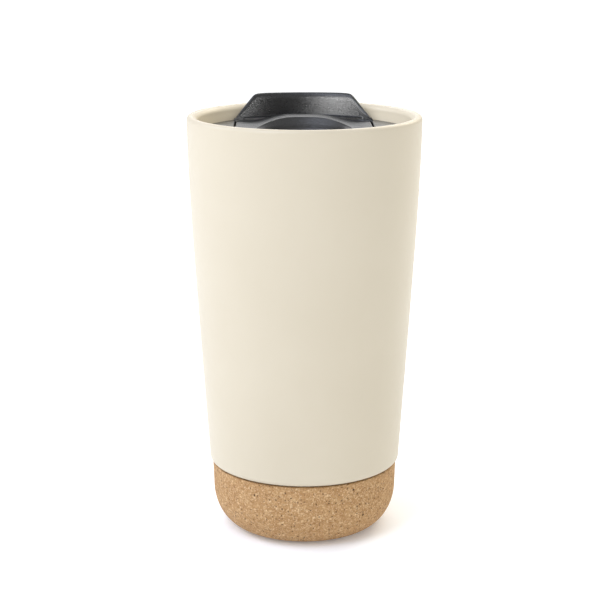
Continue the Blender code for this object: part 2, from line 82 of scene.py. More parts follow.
# Ceramic body
RIM_RADIUS = 0.0440
WALL_SLOPE = 0.0673
WALL_EASE = 0.0247
WALL_STATIONS = 56
LIP_OUTER_ROUND = 0.00155
LIP_INNER_ROUND = 0.00245
SHOULDER_Z = CORK_TOP + 0.0004
SHOULDER_ROUND = 0.0020
SHOULDER_CHAMFER = 0.0004       # where the shoulder's underside turns down into the foot
FOOT_TOP_RADIUS = 0.0310
FOOT_LOW_RADIUS = 0.0300
FOOT_ROUND = 0.0034
VENT_RADIUS = 0.0030
CERAMIC_WALL = 0.0028
LEDGE_Z = COVER_UNDER - GAP
LEDGE_OUTER_RADIUS = 0.0392
LEDGE_INNER_ROUND = 0.0006
LEDGE_OUTER_ROUND = 0.0004
MOUTH_WALL_RADIUS = 0.0393
THROAT_TOP_RADIUS = 0.0374
THROAT_LOW_Z = 0.1300
THROAT_LOW_RADIUS = 0.0369
INNER_FLOOR_Z = 0.0144
INNER_FLOOR_RADIUS = 0.0225
INNER_FLOOR_ROUND = 0.0060
AIR_GAP_TOP_Z = 0.1240
AIR_GAP_STATIONS = 12

# Cork base
CORK_TOP_RADIUS = CORK_HIGH.x
CORK_BEND_Z = 0.0160
CORK_BEND_RADIUS = 0.0354
CORK_FLAT_RADIUS = 0.0234
CORK_FLOOR_Z = 0.0050
CORK_EDGE_ROUND = 0.0005

# Lid cover
WINDOW_HALF_WIDTH = 0.0266
WINDOW_BACK_Y = 0.0273
WINDOW_FRONT_Y = -0.0284
WINDOW_CORNER = 0.0060
STEP_Y = 0.0275
STEP_TOP = DECK_Z + 0.0008
STEP_ROUND = 0.00015
STEP_FILLET = 0.0004
SPOUT_INNER_RADIUS = 0.0360
SPOUT_OUTER_RADIUS = 0.0388
SPOUT_ROUND = 0.0024
SPOUT_RISE = 0.0002             # the spout's top rises by this much from its middle
SPOUT_RISE_X = 0.0150           # to this distance either side
SPOUT_FOOT_HALF_WIDTH = 0.0271
SPOUT_END_X = 0.0270
SPOUT_EMBED = 0.0012            # how far the spout's mesh reaches down into the deck
SPOUT_SLANT = 1.208             # height lost for each metre outwards on the slanted sides
SPOUT_SHOULDER = 0.0011         # softness of the corner between top and slant
SPOUT_COLUMNS = 200
SPOUT_FACE_LEAST = 0.00002      # least height of the hollow face, at the spout's ends

# Lid base
FLOOR_TOP_Z = 0.1489
FLOOR_THICKNESS = 0.0020
PLUG_RIM_INNER_RADIUS = 0.0346
SKIRT_INNER_RADIUS = 0.0330
GROOVE_RADIUS = 0.0348
GROOVE_LOW_Z = 0.1355
GROOVE_TOP_Z = 0.1445
SLOT_HALF_WIDTH = 0.0090
SLOT_FRONT_Y = 0.0206
SLOT_BACK_Y = 0.0256
AIR_HOLE_Y = -0.0240
AIR_HOLE_RADIUS = 0.0012
AIR_HOLE_POINTS = 32
PLUG_EDGE_ROUND = 0.0003
PLUG_UNDER_ROUND = 0.0010

# Gasket
GASKET_BODY_RADIUS = 0.0359
GASKET_ROOT_STEP = 0.0001       # the body's radius changes by this much round each fin
GASKET_FINS = 3
FIN_TIP_ROUND = 0.00016
FIN_START = 0.02                # heights on a fin, as shares of the pitch of the fins
FIN_ROOT_LOW = 0.12
FIN_TIP = 0.62
FIN_ROOT_HIGH = 0.80

# Slide
SLIDE_HALF_WIDTH = 0.0261
SLIDE_BACK_Y = SLIDE_HIGH.y
SLIDE_FRONT_Y = SLIDE_LOW.y
SLIDE_CORNER = 0.0056
GRIP_HEIGHT = 0.0025
SLIDE_TOP_Z = SLIDE_HIGH.z - GRIP_HEIGHT
SLIDE_UNDER_Z = COVER_UNDER - 0.0002
GRIP_CREST_HALF_WIDTH = 0.0050
GRIP_FOOT_HALF_WIDTH = 0.0220
GRIP_FULL_Y = 0.0120
GRIP_END_Y = -0.0050
SCOOP_RADIUS = 0.0180
SCOOP_FLOOR_RADIUS = 0.0168
SCOOP_FLOOR_Z = 0.1506
SCOOP_FLOOR_ROUND = 0.0030
SCOOP_EDGE_ROUND = 0.00025
BOWL_WALL = 0.0014
BOWL_ROUND = 0.0006
SLIDE_ROWS = 40
RAIL_INNER_X = 0.0240
RAIL_OUTER_X = SLIDE_HIGH.x
RAIL_FRONT_Y = -0.0100
RAIL_BACK_Y = 0.0180
RAIL_LOW_Z = 0.1493
RAIL_EDGE_ROUND = 0.0001

# Materials: linear colours, texture scales per metre, bump depths in metres
GLAZE_DEEP = (0.594, 0.525, 0.398, 1.0)
GLAZE_PALE = (0.607, 0.538, 0.411, 1.0)
# painted light: the inside colour is paler to stand in for the light that falls on the inner wall
GLAZE_INSIDE_PAINTED_LIGHT = (0.800, 0.705, 0.520, 1.0)
GLAZE_SPECKLE = (0.51, 0.44, 0.33, 1.0)
PAINTED_LIGHT_INSIDE_START = 0.0028     # depth under the outer taper where the paler inside colour, which is painted light, begins
PAINTED_LIGHT_INSIDE_FULL = 0.0040
CRUMB_SCALE = 1250.0
CRUMB_WANDER = 0.0008           # how far the crumbs' outlines are bent
CRUMB_TINTS = (
    (0.00, (0.330, 0.165, 0.060)),
    (0.15, (0.430, 0.240, 0.098)),
    (0.50, (0.500, 0.295, 0.130)),
    (0.85, (0.580, 0.360, 0.170)),
    (1.00, (0.740, 0.520, 0.290)),
)
FINE_CRUMB_TINTS = (
    (0.00, (0.280, 0.130, 0.050)),
    (0.20, (0.440, 0.250, 0.105)),
    (0.75, (0.530, 0.320, 0.145)),
    (1.00, (0.860, 0.640, 0.390)),
)
CORK_SEAM = (0.22, 0.105, 0.040, 1.0)
CORK_BARK = (0.060, 0.028, 0.014, 1.0)
# the dark end of these tints is painted shade in the foam's pores
FOAM_TINTS_PORE_SHADE = (
    (0.0, (0.55, 0.54, 0.50)),
    (0.5, (0.80, 0.79, 0.75)),
    (1.0, (0.86, 0.85, 0.81)),
)
BLACK = (0.0, 0.0, 0.0, 1.0)
PAPER_DEEP = (0.912, 0.934, 0.948, 1.0)
PAPER_PALE = (0.926, 0.948, 0.962, 1.0)
PLASTICS = {
    # tone, grain depth, lowest and highest roughness, specular level
    "black_deck_plastic": (0.009, 0.00002, 0.27, 0.34, 0.8),
    "black_spout_plastic": (0.009, 0.00009, 0.26, 0.33, 0.5),
    "black_plug_plastic": (0.0135, 0.00003, 0.32, 0.42, 0.8),
    "black_slide_plastic": (0.0095, 0.00016, 0.36, 0.46, 0.8),
}

# Camera and light
CAMERA_DISTANCE = 0.6106        # from the cup's axis
CAMERA_HEIGHT = RIM_TOP + 0.0780
CAMERA_SIDE = -0.00167          # the camera stands this far left of the cup's axis
CAMERA_AZIMUTH = math.radians(-0.9)
CAMERA_PITCH = math.radians(13.739)
CAMERA_LENS = 98.31             # millimetres, on the default 36 mm sensor
CAMERA_REACH = 20.0             # the view is clipped beyond this
WORLD_LIGHT = 0.75              # strength of the white surroundings as a light
WORLD_VIEW = 1.0                # and as the camera sees them
FLOOR_HALF_SIZE = 6.0
SOFTBOX_DISTANCE = 1.0          # from the middle of the cup
SOFTBOX_TARGET = (0.0, 0.0, 0.14)
COOL = (0.93, 1.0, 1.20)
NEUTRAL = (1.0, 1.0, 1.0)
WARM = (1.10, 1.0, 0.80)
SOFTBOXES = (
    # name, degrees round from the camera's side, degrees up, width, height, radiance, colour
    ("key_softbox", -45.0, 30.0, 0.40, 0.40, 2.8, COOL),
    ("high_softbox", -45.0, 55.0, 0.50, 0.50, 4.5, COOL),
    ("left_softbox", -100.0, 30.0, 0.40, 0.40, 4.35, COOL),
    ("back_softbox", 180.0, 32.0, 0.60, 0.30, 4.1, NEUTRAL),
    ("back_right_softbox", 140.0, 35.0, 0.50, 0.50, 4.9, WARM),
)
OFF_THE_SLIDE = ("left_softbox", "back_right_softbox")      # these don't shine on the slide
SPOUT_ACCENTS = (
    # the same values, for the lights that shine on the spout alone
    ("front_accent", -27.0, 0.0, 0.34, 0.20, 30.0, NEUTRAL),
    ("left_accent", -46.0, 0.0, 0.70, 0.15, 38.0, NEUTRAL),
    ("side_accent", -62.0, 0.0, 0.30, 0.20, 22.0, NEUTRAL),
    ("right_accent", 80.0, 0.0, 0.40, 0.20, 31.0, NEUTRAL),
)
NEAR_GLOW = 0.13                # the floor's own light near the cup
FAR_GLOW = 0.41                 # and far from it, where less of the softboxes' light falls
NEAR_GLOW_RADIUS = 0.25
FAR_GLOW_RADIUS = 0.70


# ---- Curves and outlines --------------------------------------------------------------------

def arc(centre, radius, start_deg, end_deg, steps, height_radius=None):
    """Points on part of a circle, or of an ellipse when it has its own height radius."""
    height_radius = height_radius or radius
    points = []
    for index in range(steps + 1):
        angle = math.radians(start_deg + (end_deg - start_deg) * index / steps)
        points.append((centre[0] + radius * math.cos(angle), centre[1] + height_radius * math.sin(angle)))
    return points


def quarter_turn(steps):
    """Angles from 0 to a right angle, in even steps."""
    return [math.radians(90.0 * index / steps) for index in range(steps + 1)]


def blend(low, high, share):
    """The value a share of the way from one number to another."""
    return low + (high - low) * share


def stations(start, end, count):
    """Points spaced evenly along a straight line, without its end point."""
    return [
        (blend(start[0], end[0], index / count), blend(start[1], end[1], index / count))
        for index in range(count)
    ]


def ease(share):
    """A smooth 0 to 1 curve with level ends, held at its ends outside 0 to 1."""
    share = min(max(share, 0.0), 1.0)
    return 0.5 - 0.5 * math.cos(math.pi * share)


def soft_min(a, b, softness):
    """The lower of two values, with a rounded change from one to the other."""
    return 0.5 * (a + b - math.hypot(a - b, softness))


def wall_radius(z):
    """Outer radius of the ceramic wall: upright under the lip, easing into a straight taper."""
    depth = RIM_TOP - z
    eased_depth = depth - WALL_EASE * (1.0 - math.exp(-depth / WALL_EASE))
    return RIM_RADIUS - WALL_SLOPE * eased_depth


def cone_radius(z):
    """Inner radius of the drinking cup below its throat."""
    share = (z - INNER_FLOOR_Z) / (THROAT_LOW_Z - INNER_FLOOR_Z)
    return blend(INNER_FLOOR_RADIUS, THROAT_LOW_RADIUS, share)


def rectangle_reach(angle, half_width, front, back, corner):
    """Distance from the cup's axis to a rounded rectangle, in the direction of an angle."""
    across = math.cos(angle)
    along = math.sin(angle)
    far_y = back if along > 0.0 else -front
    to_side = half_width / max(abs(across), TINY)
    to_end = far_y / max(abs(along), TINY)
    reach = min(to_side, to_end)
    centre = Vector((half_width - corner, far_y - corner))
    ray = Vector((abs(across), abs(along)))
    hit = ray * reach
    if hit.x > centre.x and hit.y > centre.y:
        towards = ray.dot(centre)
        beyond = towards * towards - centre.length_squared + corner * corner
        reach = towards + math.sqrt(max(beyond, 0.0))
    return reach


# ---- Mesh helpers ---------------------------------------------------------------------------

def ring(radius, z, count=AROUND):
    """A ring of points. The radius may be a function of the angle, and the height one of (x, y)."""
    points = []
    for index in range(count):
        angle = 2.0 * math.pi * index / count
        reach = radius(angle) if callable(radius) else radius
        x = reach * math.cos(angle)
        y = reach * math.sin(angle)
        points.append((x, y, z(x, y) if callable(z) else z))
    return points


def loft(name, rings, closed=False):
    """A closed mesh through rings of points. A first or last ring of one point is a pole."""
    bm = bmesh.new()
    rows = [[bm.verts.new(point) for point in points] for points in rings]
    pairs = list(zip(rows, rows[1:]))
    if closed:
        pairs.append((rows[-1], rows[0]))
    for near, far in pairs:
        bridge(bm, near, far)
    return finish_mesh(name, bm)


def bridge(bm, near, far):
    """Faces between two rings, or between a ring and a pole."""
    count = max(len(near), len(far))
    for index in range(count):
        after = (index + 1) % count
        if len(near) == 1:
            bm.faces.new((near[0], far[after], far[index]))
        elif len(far) == 1:
            bm.faces.new((near[index], near[after], far[0]))
        else:
            bm.faces.new((near[index], near[after], far[after], far[index]))


def finish_mesh(name, bm, sharp_deg=SHARP_DEG):
    """An object in the scene from a mesh in progress, smooth but for its sharp edges."""
    bmesh.ops.recalc_face_normals(bm, faces=bm.faces)
    mesh = bpy.data.meshes.new(name)
    bm.to_mesh(mesh)
    bm.free()
    item = bpy.data.objects.new(name, mesh)
    bpy.context.scene.collection.objects.link(item)
    mesh.shade_smooth()
    mesh.set_sharp_from_angle(angle=math.radians(sharp_deg))
    return item


def turned(name, outline, closed=False, count=AROUND):
    """A turned piece from a (radius, height) outline. Points on the axis become poles."""
    rings = [[(0.0, 0.0, z)] if radius < TINY else ring(radius, z, count) for radius, z in outline]
    return loft(name, rings, closed)


def rounded_bar(name, outline, start_y, end_y, round_off):
    """An outline in the XZ plane, extruded along Y, with its edges rounded."""
    bm = bmesh.new()
    face = bm.faces.new([bm.verts.new((x, start_y, z)) for x, z in outline])
    grown = bmesh.ops.extrude_face_region(bm, geom=[face])
    moved = [part for part in grown["geom"] if isinstance(part, bmesh.types.BMVert)]
    bmesh.ops.translate(bm, vec=(0.0, end_y - start_y, 0.0), verts=moved)
    bmesh.ops.bevel(bm, geom=list(bm.edges), offset=round_off, segments=3, profile=0.5, affect="EDGES")
    return finish_mesh(name, bm)


def cut(item, tool):
    """Take one object's shape out of another's mesh, and remove the tool."""
    modifier = item.modifiers.new("cut", "BOOLEAN")
    modifier.operation = "DIFFERENCE"
    modifier.solver = "EXACT"
    modifier.object = tool
    evaluated = item.evaluated_get(bpy.context.evaluated_depsgraph_get())
    result = bpy.data.meshes.new_from_object(evaluated)
    item.modifiers.clear()
    item.data = result
    result.name = item.name
    bpy.data.objects.remove(tool, do_unlink=True)
    result.shade_smooth()
    result.set_sharp_from_angle(angle=math.radians(SHARP_DEG))


def join(item, *others):
    """Put the meshes of several objects into one object."""
    bm = bmesh.new()
    for other in (item, *others):
        bm.from_mesh(other.data)
    for other in others:
        bpy.data.objects.remove(other, do_unlink=True)
    bm.to_mesh(item.data)
    bm.free()
    item.data.shade_smooth()
    item.data.set_sharp_from_angle(angle=math.radians(SHARP_DEG))


# ---- Materials ------------------------------------------------------------------------------

class Finish:
    """A material with short calls for adding and joining its nodes."""

    def __init__(self, name):
        self.material = bpy.data.materials.new(name)
        self.material.use_nodes = True
        self.tree = self.material.node_tree
        self.shader = self.tree.nodes["Principled BSDF"]
        self.place = self.add("ShaderNodeTexCoord").outputs["Object"]

    def add(self, kind, **settings):
        node = self.tree.nodes.new(kind)
        for key, value in settings.items():
            setattr(node, key, value)
        return node

    def feed(self, socket, value):
        """Join an output to a socket, or set the socket to a constant."""
        if isinstance(value, bpy.types.NodeSocket):
            self.tree.links.new(value, socket)
        else:
            socket.default_value = value

    def noise(self, scale, detail=2.0, roughness=0.5):
        node = self.add("ShaderNodeTexNoise")
        self.feed(node.inputs["Vector"], self.place)
        self.feed(node.inputs["Scale"], scale)
        self.feed(node.inputs["Detail"], detail)
        self.feed(node.inputs["Roughness"], roughness)
        return node.outputs["Fac"]

    def cells(self, scale, feature="F1", output="Color", place=None):
        """A pattern of irregular cells, at the surface's own place or at a bent one."""
        node = self.add("ShaderNodeTexVoronoi", feature=feature)
        self.feed(node.inputs["Vector"], place or self.place)
        self.feed(node.inputs["Scale"], scale)
        return node.outputs[output]

    def ramp(self, value, *stops):
        """A colour ramp. Each stop is (position, colour)."""
        node = self.add("ShaderNodeValToRGB")
        elements = node.color_ramp.elements
        while len(elements) < len(stops):
            elements.new(0.5)
        for element, (position, colour) in zip(elements, stops):
            element.position = position
            element.color = (*colour, 1.0)
        self.feed(node.inputs["Fac"], value)
        return node.outputs["Color"]

    def span(self, value, low, high, new_low, new_high):
        """Map a value from one range to another, held at the ends."""
        node = self.add("ShaderNodeMapRange")
        self.feed(node.inputs["Value"], value)
        limits = {"From Min": low, "From Max": high, "To Min": new_low, "To Max": new_high}
        for socket, number in limits.items():
            self.feed(node.inputs[socket], number)
        return node.outputs["Result"]

    def math(self, operation, first, second):
        node = self.add("ShaderNodeMath", operation=operation)
        self.feed(node.inputs[0], first)
        self.feed(node.inputs[1], second)
        return node.outputs["Value"]

    def mix(self, share, first, second):
        node = self.add("ShaderNodeMix", data_type="RGBA")
        self.feed(node.inputs["Factor"], share)
        self.feed(node.inputs["A"], first)
        self.feed(node.inputs["B"], second)
        return node.outputs["Result"]

    def spots(self, scale, inner, outer, rarity, place):
        """Scattered soft-edged spots: 1 inside, 0 outside. Only cells above the rarity hold one."""
        near = self.cells(scale, output="Distance", place=place)
        chance = self.first_channel(self.cells(scale, place=place))
        spot = self.span(near, inner, outer, 1.0, 0.0)
        return self.math("MULTIPLY", spot, self.span(chance, rarity, rarity + 0.01, 0.0, 1.0))

    def first_channel(self, colour):
        node = self.add("ShaderNodeSeparateColor")
        self.feed(node.inputs["Color"], colour)
        return node.outputs["Red"]

    def bump(self, height, depth, before=None):
        """Raise the surface by up to a depth in metres, on top of an earlier bump."""
        node = self.add("ShaderNodeBump")
        self.feed(node.inputs["Height"], height)
        self.feed(node.inputs["Distance"], depth)
        if before:
            self.feed(node.inputs["Normal"], before)
        return node.outputs["Normal"]

    def set(self, **values):
        """Feed the shader's sockets, named with underscores for spaces."""
        for key, value in values.items():
            self.feed(self.shader.inputs[key.replace("_", " ")], value)
        return self.material


def painted_light_inside_share(glaze):
    """Where the painted light inside the cup lies: 0 on the outer wall and 1 inside, by the depth under the
    straight part of the outer taper.
    """
    flat = glaze.add("ShaderNodeVectorMath", operation="MULTIPLY")
    glaze.feed(flat.inputs[0], glaze.place)
    glaze.feed(flat.inputs[1], (1.0, 1.0, 0.0))
    radius = glaze.add("ShaderNodeVectorMath", operation="LENGTH")
    glaze.feed(radius.inputs[0], flat.outputs["Vector"])
    parts = glaze.add("ShaderNodeSeparateXYZ")
    glaze.feed(parts.inputs["Vector"], glaze.place)
    taper = glaze.math("MULTIPLY", parts.outputs["Z"], WALL_SLOPE)
    drop = glaze.math("SUBTRACT", taper, radius.outputs["Value"])
    depth = glaze.math("ADD", drop, RIM_RADIUS - WALL_SLOPE * RIM_TOP)
    return glaze.span(depth, PAINTED_LIGHT_INSIDE_START, PAINTED_LIGHT_INSIDE_FULL, 0.0, 1.0)


def ceramic_finish():
    """Cream satin glaze, made paler inside by painted light: faint clouding, fine speckle and the ripple of
    firing.
    """
    glaze = Finish("cream_satin_glaze")
    painted_light_share = painted_light_inside_share(glaze)
    clouds = glaze.span(glaze.noise(28.0, 3.0), 0.35, 0.65, 0.0, 1.0)
    cream = glaze.mix(clouds, GLAZE_DEEP, GLAZE_PALE)
    # painted light: a paler colour inside the cup in place of light on the inner wall
    cream = glaze.mix(painted_light_share, cream, GLAZE_INSIDE_PAINTED_LIGHT)
    speckle = glaze.span(glaze.noise(2600.0, 2.0), 0.62, 0.78, 0.0, 0.10)
    colour = glaze.mix(speckle, cream, GLAZE_SPECKLE)
    roughness = glaze.span(glaze.noise(420.0, 3.0), 0.3, 0.7, 0.40, 0.47)
    ripple = glaze.bump(glaze.noise(160.0, 2.0), 0.00005)
    grain = glaze.bump(glaze.noise(2200.0, 2.0), 0.000008, ripple)
    return glaze.set(Base_Color=colour, Roughness=roughness, Normal=grain, IOR=1.5)


def cork_finish():
    """Pressed cork granules: tan crumbs of mixed tint, fine dark seams, pale flecks and bark specks."""
    cork = Finish("pressed_cork")
    wander = cork.add("ShaderNodeTexNoise")
    cork.feed(wander.inputs["Vector"], cork.place)
    cork.feed(wander.inputs["Scale"], 900.0)
    bent = cork.add("ShaderNodeVectorMath", operation="MULTIPLY_ADD")
    cork.feed(bent.inputs[0], wander.outputs["Color"])
    cork.feed(bent.inputs[1], (CRUMB_WANDER, CRUMB_WANDER, CRUMB_WANDER))
    cork.feed(bent.inputs[2], cork.place)
    place = bent.outputs["Vector"]

    crumb = cork.first_channel(cork.cells(CRUMB_SCALE, place=place))
    fine = cork.first_channel(cork.cells(2.0 * CRUMB_SCALE, place=place))
    colour = cork.mix(0.55, cork.ramp(crumb, *CRUMB_TINTS), cork.ramp(fine, *FINE_CRUMB_TINTS))
    edge = cork.cells(CRUMB_SCALE, feature="DISTANCE_TO_EDGE", output="Distance", place=place)
    seam = cork.span(edge, 0.0, 0.09, 0.35, 0.0)
    colour = cork.mix(seam, colour, CORK_SEAM)
    specks = cork.spots(850.0, 0.18, 0.33, 0.66, place)
    bark = cork.spots(270.0, 0.09, 0.16, 0.80, place)
    dark = cork.math("MAXIMUM", cork.math("MULTIPLY", specks, 0.75), bark)
    colour = cork.mix(dark, colour, CORK_BARK)
    crumbs = cork.math("ADD", crumb, cork.math("MULTIPLY", fine, 0.6))
    height = cork.math("SUBTRACT", crumbs, seam)
    relief = cork.bump(cork.math("SUBTRACT", height, dark), 0.00012)
    relief = cork.bump(cork.noise(5200.0, 2.0), 0.00003, relief)
    return cork.set(Base_Color=colour, Roughness=0.88, Normal=relief, IOR=1.4)


def plastic_finish(name):
    """Black moulded plastic with a spark-eroded grain: coarse pits under a finer one."""
    tone, grain_depth, least_rough, most_rough, specular = PLASTICS[name]
    plastic = Finish(name)
    shade = plastic.span(plastic.noise(900.0, 3.0), 0.35, 0.65, 0.75, 1.25)
    colour = plastic.mix(shade, BLACK, (tone, tone, tone * 1.04, 1.0))
    roughness = plastic.span(plastic.noise(1700.0, 3.0), 0.3, 0.7, least_rough, most_rough)
    pits = plastic.bump(plastic.noise(1300.0, 3.0, 0.65), grain_depth)
    fine = plastic.bump(plastic.noise(5200.0, 2.0), grain_depth * 0.3, pits)
    plastic.set(Base_Color=colour, Roughness=roughness, Normal=fine)
    return plastic.set(IOR=1.5, Specular_IOR_Level=specular)


def silicone_finish(name, tone):
    """Dull moulded silicone with a faint dusty mottling."""
    silicone = Finish(name)
    dust = silicone.span(silicone.noise(700.0, 4.0), 0.35, 0.75, 0.0, 1.0)
    dark = (tone * 0.9, tone * 0.9, tone * 0.9, 1.0)
    light = (tone * 1.25, tone * 1.25, tone * 1.22, 1.0)
    colour = silicone.mix(dust, dark, light)
    roughness = silicone.span(dust, 0.0, 1.0, 0.5, 0.62)
    grain = silicone.bump(silicone.noise(3000.0, 2.0), 0.00001)
    return silicone.set(Base_Color=colour, Roughness=roughness, Normal=grain, IOR=1.42)


def foam_finish():
    """White closed-cell foam with open pores on its skin, the pores darkened with painted shade."""
    foam = Finish("white_foam")
    pores = foam.cells(2200.0, output="Distance")
    # painted shade: darker grey in the recessed pores
    colour = foam.ramp(pores, *FOAM_TINTS_PORE_SHADE)
    relief = foam.bump(pores, 0.00008)
    return foam.set(Base_Color=colour, Roughness=0.9, Normal=relief)


def floor_finish():
    """Pale seamless paper. Its own faint light grows away from the cup, which hides the horizon."""
    paper = Finish("pale_paper")
    fibre = paper.span(paper.noise(60.0, 4.0), 0.3, 0.7, 0.0, 1.0)
    colour = paper.mix(fibre, PAPER_DEEP, PAPER_PALE)
    distance = paper.add("ShaderNodeVectorMath", operation="LENGTH")
    paper.feed(distance.inputs[0], paper.place)
    glow = paper.span(distance.outputs["Value"], NEAR_GLOW_RADIUS, FAR_GLOW_RADIUS, NEAR_GLOW, FAR_GLOW)
    paper.set(Base_Color=colour, Roughness=0.95)
    return paper.set(Emission_Color=(1.0, 1.0, 1.0, 1.0), Emission_Strength=glow)


# ---- Cup ------------------------------------------------------------------------------------

def ceramic_outline():
    """Section of the double wall: up the inside, over the lip, down the outside, round the air gap."""
    wall_foot = INNER_FLOOR_Z + INNER_FLOOR_ROUND
    cone_foot = wall_foot + ARC_CLEARANCE
    corner = (cone_radius(wall_foot) - INNER_FLOOR_ROUND, wall_foot)
    outline = [(0.0, INNER_FLOOR_Z), (0.5 * corner[0], INNER_FLOOR_Z)]
    outline += arc(corner, INNER_FLOOR_ROUND, 270.0, 360.0, 12)
    throat_low = (THROAT_LOW_RADIUS, THROAT_LOW_Z)
    throat_top = (THROAT_TOP_RADIUS, LEDGE_Z - LEDGE_INNER_ROUND)
    ledge_inner = (THROAT_TOP_RADIUS + LEDGE_INNER_ROUND, LEDGE_Z - LEDGE_INNER_ROUND)
    ledge_outer = (LEDGE_OUTER_RADIUS - LEDGE_OUTER_ROUND, LEDGE_Z + LEDGE_OUTER_ROUND)
    outline += stations((cone_radius(cone_foot), cone_foot), throat_low, 24)
    outline += stations(throat_low, throat_top, 6)
    outline += arc(ledge_inner, LEDGE_INNER_ROUND, 180.0, 90.0, 4)
    outline += arc(ledge_outer, LEDGE_OUTER_ROUND, 270.0, 360.0, 4)
    outline.append((MOUTH_WALL_RADIUS, DECK_Z))
    wall_top = RIM_TOP - LIP_OUTER_ROUND
    apex = wall_radius(wall_top) - LIP_OUTER_ROUND
    outline += arc((apex, RIM_TOP - LIP_INNER_ROUND), LIP_INNER_ROUND, 180.0, 90.0, 14)
    outline += arc((apex, wall_top), LIP_OUTER_ROUND, 90.0, 0.0, 14)[1:]
    wall_end = SHOULDER_Z + SHOULDER_ROUND
    for index in range(1, WALL_STATIONS):
        z = blend(wall_top, wall_end, index / WALL_STATIONS)
        outline.append((wall_radius(z), z))
    outline += arc((wall_radius(wall_end) - SHOULDER_ROUND, wall_end), SHOULDER_ROUND, 0.0, -90.0, 12)
    outline.append((FOOT_TOP_RADIUS + SHOULDER_CHAMFER, SHOULDER_Z))
    outline.append((FOOT_TOP_RADIUS, SHOULDER_Z - SHOULDER_CHAMFER))
    outline += arc((FOOT_LOW_RADIUS - FOOT_ROUND, FOOT_Z + FOOT_ROUND), FOOT_ROUND, 0.0, -90.0, 10)
    outline.append((VENT_RADIUS, FOOT_Z))
    plate_top = FOOT_Z + CERAMIC_WALL
    gap_shoulder = SHOULDER_Z + CERAMIC_WALL
    outline += [(VENT_RADIUS, plate_top), (FOOT_LOW_RADIUS - FOOT_ROUND, plate_top)]
    outline.append((FOOT_TOP_RADIUS - CERAMIC_WALL, gap_shoulder))
    for index in range(AIR_GAP_STATIONS):
        z = blend(gap_shoulder, AIR_GAP_TOP_Z, index / (AIR_GAP_STATIONS - 1))
        outline.append((wall_radius(z) - CERAMIC_WALL, z))
    outline.append((cone_radius(AIR_GAP_TOP_Z) + CERAMIC_WALL, AIR_GAP_TOP_Z))
    outline += arc(corner, INNER_FLOOR_ROUND + CERAMIC_WALL, 0.0, -90.0, 10)
    outline.append((0.0, INNER_FLOOR_Z - CERAMIC_WALL))
    return outline


def make_ceramic():
    body = turned("ceramic_cup", ceramic_outline())
    body.data.materials.append(ceramic_finish())
    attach(body, "cup")
    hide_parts("ceramic_body")


def cork_outline():
    """Section of the cork: its pocket, its rim, its tapered side and its rounded foot."""
    pocket_round = FOOT_ROUND + GAP
    pocket_centre = (FOOT_LOW_RADIUS - FOOT_ROUND, CORK_FLOOR_Z + pocket_round)
    edge = CORK_EDGE_ROUND
    outline = [(0.0, CORK_FLOOR_Z)]
    outline += arc(pocket_centre, pocket_round, 270.0, 360.0, 10)
    outline += [(FOOT_TOP_RADIUS + GAP, CORK_TOP - edge), (FOOT_TOP_RADIUS + GAP + edge, CORK_TOP)]
    outline += arc((CORK_TOP_RADIUS - edge, CORK_TOP - edge), edge, 90.0, 0.0, 5)
    outline += stations((CORK_TOP_RADIUS, CORK_TOP - ARC_CLEARANCE), (CORK_BEND_RADIUS, CORK_BEND_Z), 34)
    bend = CORK_BEND_RADIUS - CORK_FLAT_RADIUS
    outline += arc((CORK_FLAT_RADIUS, CORK_BEND_Z), bend, 0.0, -90.0, 84, height_radius=CORK_BEND_Z)
    outline += stations((CORK_FLAT_RADIUS - ARC_CLEARANCE, 0.0), (0.0, 0.0), 12)
    outline.append((0.0, 0.0))
    return outline


def make_cork():
    cork = turned("cork_foot", cork_outline(), count=CORK_AROUND)
    cork.data.materials.append(cork_finish())
    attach(cork, "cup")
    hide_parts("cork_base")


# ---- Lid ------------------------------------------------------------------------------------

def window_reach(angle):
    return rectangle_reach(angle, WINDOW_HALF_WIDTH, WINDOW_FRONT_Y, WINDOW_BACK_Y, WINDOW_CORNER)


def slide_reach(angle):
    return rectangle_reach(angle, SLIDE_HALF_WIDTH, SLIDE_FRONT_Y, SLIDE_BACK_Y, SLIDE_CORNER)


def inside(reach, inset):
    """The same outline drawn in by an inset, or drawn out by a negative one."""
    return lambda angle: reach(angle) - inset


def deck_rings():
    """Section of the flat deck, from the window's lower edge over the top and back underneath."""
    turns = quarter_turn(5)
    rings = [ring(window_reach, COVER_UNDER, LID_AROUND)]
    for turn in turns:
        inset = -EDGE_ROUND * (1.0 - math.cos(turn))
        height = DECK_Z - EDGE_ROUND * (1.0 - math.sin(turn))
        rings.append(ring(inside(window_reach, inset), height, LID_AROUND))
    for turn in reversed(turns):
        radius = DECK_RADIUS - EDGE_ROUND * (1.0 - math.cos(turn))
        height = DECK_Z - EDGE_ROUND * (1.0 - math.sin(turn))
        rings.append(ring(radius, height, LID_AROUND))
    rings.append(ring(DECK_RADIUS, COVER_UNDER + UNDER_CHAMFER, LID_AROUND))
    rings.append(ring(DECK_RADIUS - UNDER_CHAMFER, COVER_UNDER, LID_AROUND))
    return rings


def spout_height(x):
    """Top of the spout seen from the front: a level top with soft shoulders and slanted sides."""
    top = SPOUT_TOP - SPOUT_RISE + SPOUT_RISE * min(abs(x) / SPOUT_RISE_X, 1.0) ** 2
    slant = DECK_Z + (SPOUT_FOOT_HALF_WIDTH - abs(x)) * SPOUT_SLANT
    return soft_min(top, slant, SPOUT_SHOULDER)


